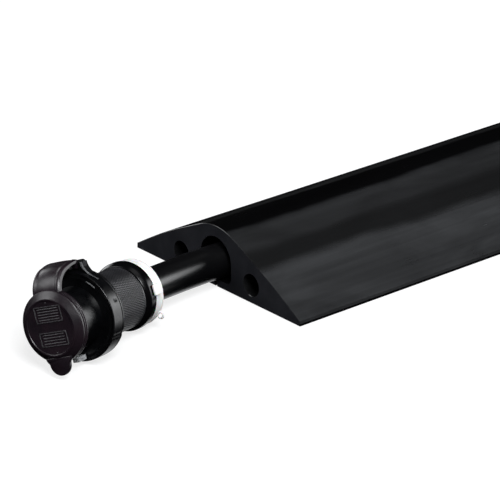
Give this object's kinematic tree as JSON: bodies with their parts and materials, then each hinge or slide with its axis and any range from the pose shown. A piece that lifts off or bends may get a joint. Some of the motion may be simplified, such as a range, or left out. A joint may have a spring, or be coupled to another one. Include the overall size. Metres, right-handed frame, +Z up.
{
  "type": "cable protector ramp",
  "caption": "Low rubber duct ramp that shields a power lead on the ground, with a split main channel, side bores, and a sealed lead with a flip-lid socket and a shrouded plug.",
  "frame": {"origin": "centre of the duct's underside, on the ground, midway between its ends and its edges", "axes": "+X along the duct from the socket end to the plug end, +Z up, +Y across the duct"},
  "size_m": [1.2924, 0.165, 0.0669],
  "materials": {
    "duct_rubber": "moulded rubber with a low sheen",
    "cable_jacket": "satin rubber jacket",
    "housing_black": "satin moulded elastomer",
    "lid_black": "satin moulded thermoplastic",
    "seal_rubber": "soft matt",
    "steel": "plated",
    "nylon_grey": "natural nylon",
    "insert_plastic": "fine matt",
    "contact_brass": "bright",
    "core_insulation": "smooth insulation",
    "sleeve_black": "fine diamond knurl",
    "collar_gloss": "polished",
    "nylon_white": "natural nylon"
  },
  "bodies": {
    "duct": {"duct_extrusion": "duct_rubber"},
    "lead": {"power_cable": "cable_jacket", "socket_shell": "housing_black", "lid_hinge_pin": "steel", "lid_spring": "steel", "latch_lug": "nylon_grey", "socket_insert": "insert_plastic", "socket_contacts": "contact_brass", "socket_terminal_screws": "steel", "socket_core_wires": "core_insulation", "socket_body_seal": "seal_rubber", "cable_grommet": "seal_rubber", "cable_clamp_jaws": "insert_plastic", "cable_clamp_screws": "steel", "plug_shell": "housing_black", "plug_insert": "insert_plastic", "plug_blades": "contact_brass", "plug_earth_pin": "contact_brass", "plug_terminal_screws": "steel", "plug_core_wires": "core_insulation", "plug_shroud_seal": "seal_rubber", "plug_body_seal": "seal_rubber", "plug_grommet": "seal_rubber", "plug_clamp_jaws": "insert_plastic", "plug_clamp_screws": "steel"},
    "lid": {"flip_lid": "lid_black", "lid_gasket": "seal_rubber"},
    "socket_sleeve": {"knurled_sleeve": "sleeve_black", "rear_collar": "collar_gloss"},
    "socket_lock_ring": {"lock_ring": "nylon_white"},
    "plug_sleeve_body": {"plug_sleeve": "sleeve_black", "plug_rear_collar": "collar_gloss"},
    "plug_lock_ring_body": {"plug_lock_ring": "nylon_white"}
  },
  "joints": [
    {"name": "lead_slide", "type": "slide", "parent": "duct", "child": "lead", "axis": [-1, 0, 0], "range_m": [0, 0.04]},
    {"name": "lid_hinge", "type": "hinge", "parent": "lead", "child": "lid", "pos_m": [-0.58637, -0.01821, 0.05707], "axis": [-0.3253, 0.8825, -0.3397], "range_deg": [0, 120], "stiffness_Nm_per_rad": 0.02, "springref_deg": -45.84},
    {"name": "socket_sleeve_turn", "type": "hinge", "parent": "lead", "child": "socket_sleeve", "pos_m": [-0.56405, -0.02204, 0.02576], "axis": [-0.9456, -0.3036, 0.1168], "range_deg": [0, 90]},
    {"name": "socket_ring_turn", "type": "hinge", "parent": "socket_sleeve", "child": "socket_lock_ring", "pos_m": [-0.53549, -0.01287, 0.02223], "axis": [-0.9456, -0.3036, 0.1168], "range_deg": [0, 60]},
    {"name": "plug_sleeve_turn", "type": "hinge", "parent": "lead", "child": "plug_sleeve_body", "pos_m": [0.61053, 0.01499, 0.02576], "axis": [0.9714, 0.2065, 0.1168], "range_deg": [0, 90]},
    {"name": "plug_ring_turn", "type": "hinge", "parent": "plug_sleeve_body", "child": "plug_lock_ring_body", "pos_m": [0.58119, 0.00876, 0.02223], "axis": [0.9714, 0.2065, 0.1168], "range_deg": [0, 60]}
  ]
}
